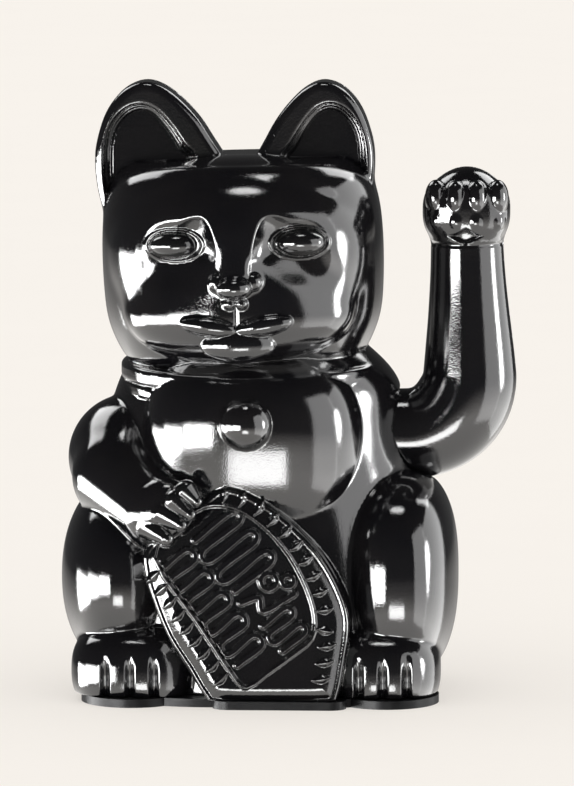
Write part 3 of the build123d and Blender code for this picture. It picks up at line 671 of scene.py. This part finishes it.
def noise(tree, scale, detail=2.0, kind="noise", stretch=None):
    """A 3-D procedural pattern in the object's own space, scale in features per metre."""
    place = tree.nodes.new("ShaderNodeTexCoord").outputs["Object"]
    if stretch:
        mapping = tree.nodes.new("ShaderNodeMapping")
        mapping.inputs["Scale"].default_value = stretch
        tree.links.new(place, mapping.inputs["Vector"])
        place = mapping.outputs["Vector"]
    if kind == "noise":
        node = tree.nodes.new("ShaderNodeTexNoise")
        node.inputs["Detail"].default_value = detail
        result = node.outputs["Fac"]
    else:
        node = tree.nodes.new("ShaderNodeTexVoronoi")
        result = node.outputs["Distance"]
    node.inputs["Scale"].default_value = scale
    tree.links.new(place, node.inputs["Vector"])
    return result


def ramp(tree, value, stops):
    """A colour or grey ramp over a value: stops of (place, colour)."""
    node = tree.nodes.new("ShaderNodeValToRGB")
    while len(node.color_ramp.elements) < len(stops):
        node.color_ramp.elements.new(0.5)
    for element, (place, colour) in zip(node.color_ramp.elements, stops):
        element.position = place
        element.color = (*colour, 1) if len(colour) == 3 else (colour[0],) * 3 + (1,)
    tree.links.new(value, node.inputs["Fac"])
    return node.outputs["Color"]


def emboss(tree, shader, height, strength, distance, under=None):
    """A bump under a shader, on top of another bump if one is given."""
    node = tree.nodes.new("ShaderNodeBump")
    node.inputs["Strength"].default_value = strength
    node.inputs["Distance"].default_value = distance
    tree.links.new(height, node.inputs["Height"])
    if under is not None:
        tree.links.new(under, node.inputs["Normal"])
    tree.links.new(node.outputs["Normal"], shader.inputs["Normal"])
    return node.outputs["Normal"]


def finish(name, low, high, scale, rough, bump_height, metallic=0.0, bump_scale=None, stretch=None,
           extra=None):
    """A material whose colour drifts between two tones, with roughness and grain of its own."""
    material = bpy.data.materials.new(name)
    material.use_nodes = True
    tree = material.node_tree
    shader = tree.nodes["Principled BSDF"]
    shader.inputs["Metallic"].default_value = metallic
    pattern = noise(tree, scale, 4.0, stretch=stretch)
    tree.links.new(ramp(tree, pattern, [(0.35, low), (0.65, high)]), shader.inputs["Base Color"])
    tree.links.new(ramp(tree, pattern, [(0.3, (rough[0],)), (0.7, (rough[1],))]), shader.inputs["Roughness"])
    emboss(tree, shader, noise(tree, bump_scale or scale * 6, 2.0, stretch=stretch), 0.6, bump_height)
    for socket, value in (extra or {}).items():
        shader.inputs[socket].default_value = value
    return material


def black_lustre():
    """Black high-gloss coating: nearly black under a mirror-like lacquer with faint orange peel and grain."""
    material = bpy.data.materials.new("black_lustre")
    material.use_nodes = True
    tree = material.node_tree
    shader = tree.nodes["Principled BSDF"]
    shader.inputs["Metallic"].default_value = 0.0
    shader.inputs["IOR"].default_value = 1.65
    shader.inputs["Coat Weight"].default_value = 0.5
    shader.inputs["Coat Roughness"].default_value = 0.02
    clouds = noise(tree, 60, 3.0)
    blacks = ramp(tree, clouds, [(0.3, (0.0035, 0.0035, 0.0045)), (0.7, (0.007, 0.0065, 0.007))])
    tree.links.new(blacks, shader.inputs["Base Color"])
    rough = ramp(tree, noise(tree, 900, 3.0), [(0.35, (0.035,)), (0.75, (0.09,))])
    tree.links.new(rough, shader.inputs["Roughness"])
    peel = emboss(tree, shader, noise(tree, 420, 2.0), 0.4, 0.00002)
    emboss(tree, shader, noise(tree, 2600, 2.0), 0.8, 0.00003, peel)
    return material


LUSTRE = black_lustre()
FINISHES = {
    "black_plastic": finish(
        "black_plastic", (0.003, 0.003, 0.0035), (0.006, 0.006, 0.0065), 400, (0.3, 0.4), 0.00002,
        extra={"Specular IOR Level": 0.12}),
    "white_plastic": finish(
        "white_plastic", (0.74, 0.73, 0.70), (0.80, 0.79, 0.76), 160, (0.38, 0.5), 0.00003,
        extra={"Subsurface Weight": 0.05}),
    "nylon": finish(
        "nylon", (0.62, 0.60, 0.54), (0.70, 0.68, 0.62), 220, (0.35, 0.5), 0.00002,
        extra={"Subsurface Weight": 0.1}),
    "steel": finish(
        "steel", (0.42, 0.42, 0.44), (0.58, 0.58, 0.60), 300, (0.22, 0.38), 0.00001, 1.0, 2400),
    "nickel": finish(
        "nickel", (0.60, 0.57, 0.52), (0.70, 0.67, 0.62), 260, (0.12, 0.24), 0.00001, 1.0, 1800),
    "copper_wire": finish(
        "copper_wire", (0.55, 0.20, 0.09), (0.72, 0.30, 0.14), 500, (0.22, 0.36), 0.00005, 1.0, 900,
        stretch=(1, 1, 12)),
    "board_resin": finish(
        "board_resin", (0.04, 0.19, 0.07), (0.06, 0.25, 0.11), 700, (0.35, 0.5), 0.00003,
        stretch=(1, 6, 1)),
    "component_black": finish(
        "component_black", (0.012, 0.012, 0.013), (0.028, 0.028, 0.03), 800, (0.35, 0.55), 0.00003),
    "resistor_tan": finish(
        "resistor_tan", (0.45, 0.31, 0.17), (0.58, 0.42, 0.25), 600, (0.35, 0.5), 0.00002),
    "red_cover": finish(
        "red_cover", (0.42, 0.02, 0.018), (0.55, 0.035, 0.03), 500, (0.3, 0.45), 0.00002),
    "yellow_cover": finish(
        "yellow_cover", (0.62, 0.42, 0.03), (0.74, 0.53, 0.06), 500, (0.3, 0.45), 0.00002),
    "cell_jacket": finish(
        "cell_jacket", (0.17, 0.19, 0.22), (0.23, 0.25, 0.28), 300, (0.18, 0.32), 0.00001,
        stretch=(1, 12, 1)),
}
LOOKS = {
    "black_plastic": ("base_plate", "battery_door", "switch_housing"),
    "white_plastic": ("mechanism_frame", "pendulum_lever", "arm_hub", "coil_bobbin"),
    "nylon": ("inner_bush", "outer_bush", "switch_slider"),
    "steel": ("axle", "counterweight", "frame_screws", "board_screws", "base_screws"),
    "nickel": ("pendulum_magnet", "spring_contact", "plate_contact"),
    "copper_wire": ("coil_winding",),
    "board_resin": ("circuit_board",),
    "component_black": ("transistor", "capacitor", "negative_wire"),
    "resistor_tan": ("resistors",),
    "red_cover": ("positive_wire",),
    "yellow_cover": ("switch_wire",),
    "cell_jacket": ("aa_cell",),
}
for slot, names in LOOKS.items():
    for name in names:
        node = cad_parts[name]
        node.data.materials.clear()
        node.data.materials.append(FINISHES[slot])


# ---------------------------------------------------------------- the visible pieces

def detailed(middles):
    """Where the front of the cat is modelled finely: its face, ears, bell, coin, hand and feet."""
    x, y, z = middles.T
    in_face = (z > 80) & (z < 126) & (y < -22)
    in_bell = (z > 60) & (z < 82) & (y < -20) & (np.abs(x + 3) < 12)
    in_coin = (z > 1) & (z < 60) & (y < -32) & (x > -34) & (x < 24)
    in_toes = (z > 3) & (z < 18) & (y < -28)
    in_ears = (z > 114) & (y < 0)
    return in_face | in_bell | in_coin | in_toes | in_ears


def engraved(middles):
    """Where the coin's relief is modelled more finely still."""
    y, z = middles[:, 1], middles[:, 2]
    return (y < -36) & (outline_distance(middles[:, [0, 2]], COIN_OUTLINE) < -1.5) & (z > 5) & (z < 50)


def pawed(middles):
    """Where the raised paw is modelled finely."""
    return (middles[:, 2] > 108) & (middles[:, 1] < 0)


skin("front_skin", cat_front, (-56, -50, 0), (56, 5, 154), "cat", ["front_shell"], LUSTRE,
     fine=(detailed, engraved))
skin("rear_skin", cat_back, (-56, -1, 0), (56, 44, 154), "cat", ["rear_shell"], LUSTRE, step=COARSE * 1.15)
skin("arm_front_skin", arm_front, (22, -16, 46), (66, 5, 134), "arm", ["arm_front_half"], LUSTRE,
     fine=(pawed,))
skin("arm_rear_skin", arm_back, (22, -1, 46), (66, 18, 134), "arm", ["arm_rear_half"], LUSTRE)


# ---------------------------------------------------------------- floor, light and camera

CAMERA_TURN = 3.0
CAMERA_RISE = 6.5
CAMERA_AWAY = 2.6
LENS_PER_METRE = 168.0 / 0.9
AIM = Vector((5.2, 0.0, 72.4)) * MM
CREAM = (0.935, 0.890, 0.835)


def toward(azimuth, elevation):
    """The direction at an angle from the line back to the camera: azimuth to the right, elevation up."""
    a, e = radians(azimuth), radians(elevation)
    direction = Vector((sin(a) * cos(e), -cos(a) * cos(e), sin(e)))
    turn = Matrix.Rotation(radians(CAMERA_TURN), 3, "Z")
    rise = Matrix.Rotation(radians(-CAMERA_RISE), 3, "X")
    return turn @ rise @ direction


def panel_light(name, azimuth, elevation, away, width, height, radiance, shape="RECTANGLE"):
    """A soft light panel that faces the figurine. It only shows in reflections."""
    light = bpy.data.lights.new(name, "AREA")
    light.shape = shape
    light.size, light.size_y = width, height
    area = width * height * (pi / 4 if shape == "ELLIPSE" else 1)
    light.energy = radiance * area * pi
    panel = bpy.data.objects.new(name, light)
    bpy.context.collection.objects.link(panel)
    direction = toward(azimuth, elevation)
    panel.location = AIM + direction * away
    panel.rotation_euler = direction.to_track_quat("Z", "Y").to_euler()
    panel.visible_diffuse = False
    panel.visible_camera = False
    return panel


def floor_piece():
    """A wide sheet of pale paper, which doesn't show in the figurine's gloss."""
    mesh = bpy.data.meshes.new("floor")
    reach = 30.0
    corners = [(-reach, -reach, 0), (reach, -reach, 0), (reach, reach, 0), (-reach, reach, 0)]
    mesh.from_pydata(corners, [], [(0, 1, 2, 3)])
    material = bpy.data.materials.new("floor_paper")
    material.use_nodes = True
    tree = material.node_tree
    shader = tree.nodes["Principled BSDF"]
    shader.inputs["Specular IOR Level"].default_value = 0.0
    shader.inputs["Roughness"].default_value = 1.0
    paper = ramp(tree, noise(tree, 25, 3.0), [(0.3, (0.42, 0.401, 0.376)), (0.7, (0.426, 0.407, 0.381))])
    tree.links.new(paper, shader.inputs["Base Color"])
    shader.inputs["Emission Color"].default_value = (*CREAM, 1)
    shader.inputs["Emission Strength"].default_value = 0.55
    mesh.materials.append(material)
    floor = bpy.data.objects.new("floor", mesh)
    bpy.context.collection.objects.link(floor)
    floor.visible_glossy = False
    floor.visible_shadow = False


def studio():
    """Even light for the floor, and near darkness with a dim ground for reflections."""
    world = bpy.data.worlds.new("studio")
    bpy.context.scene.world = world
    world.use_nodes = True
    tree = world.node_tree
    tree.nodes.clear()
    path = tree.nodes.new("ShaderNodeLightPath")
    glossy = tree.nodes.new("ShaderNodeBackground")
    open_light = tree.nodes.new("ShaderNodeBackground")
    mix = tree.nodes.new("ShaderNodeMixShader")
    out = tree.nodes.new("ShaderNodeOutputWorld")
    place = tree.nodes.new("ShaderNodeTexCoord")
    split = tree.nodes.new("ShaderNodeSeparateXYZ")
    tree.links.new(place.outputs["Generated"], split.inputs[0])
    shade = tree.nodes.new("ShaderNodeMapRange")
    shade.inputs["From Min"].default_value = -1.0
    shade.inputs["From Max"].default_value = 1.0
    tree.links.new(split.outputs["Z"], shade.inputs["Value"])
    tree.links.new(ramp(tree, shade.outputs["Result"], [(0.0, (0.6, 0.59, 0.57)), (0.3, (0.8, 0.78, 0.75)),
                                                        (0.4, (0.3, 0.29, 0.28)), (0.46, (0.03, 0.03, 0.03)),
                                                        (1.0, (0.004, 0.004, 0.004))]),
                   glossy.inputs["Color"])
    glossy.inputs["Strength"].default_value = 2.0
    open_light.inputs["Color"].default_value = (1.0, 1.0, 1.0, 1)
    open_light.inputs["Strength"].default_value = 1.0
    tree.links.new(path.outputs["Is Glossy Ray"], mix.inputs[0])
    tree.links.new(open_light.outputs[0], mix.inputs[1])
    tree.links.new(glossy.outputs[0], mix.inputs[2])
    tree.links.new(mix.outputs[0], out.inputs["Surface"])


def photographer():
    """The camera, a little above the figurine and a little to its side."""
    data = bpy.data.cameras.new("camera")
    data.sensor_width = 36.0
    data.lens = LENS_PER_METRE * CAMERA_AWAY
    data.clip_end = 100.0
    camera = bpy.data.objects.new("camera", data)
    bpy.context.collection.objects.link(camera)
    back = toward(0, 0)
    camera.location = AIM + back * CAMERA_AWAY
    camera.rotation_euler = back.to_track_quat("Z", "Y").to_euler()
    bpy.context.scene.camera = camera


floor_piece()
studio()
photographer()
STRIP = 20.0
panel_light("strip_front", -40, -12, 1.3, 0.74, 0.40, 1.5 * STRIP)
panel_light("strip_side", -75, -11, 1.3, 0.76, 0.40, STRIP)
panel_light("strip_back", -106, -11, 1.3, 0.76, 0.40, STRIP)
panel_light("card_low", -1, -31, 1.3, 0.52, 0.28, 11.0)
panel_light("wall_front", 62, 0, 1.5, 1.15, 2.2, 2.0)
panel_light("wall_side", 108, 0, 1.5, 1.5, 2.2, 2.0)
panel_light("wall_hot", 86, 2, 1.2, 0.28, 0.55, 16.0, "ELLIPSE")
panel_light("overhead", 0, 78, 1.3, 0.35, 0.25, 7.0, "ELLIPSE")
panel_light("rim_left", -135, 46, 1.3, 0.6, 0.6, 4.0)
panel_light("rim_right", 135, 46, 1.3, 0.6, 0.6, 4.0)

bpy.context.scene.view_settings.view_transform = "Standard"
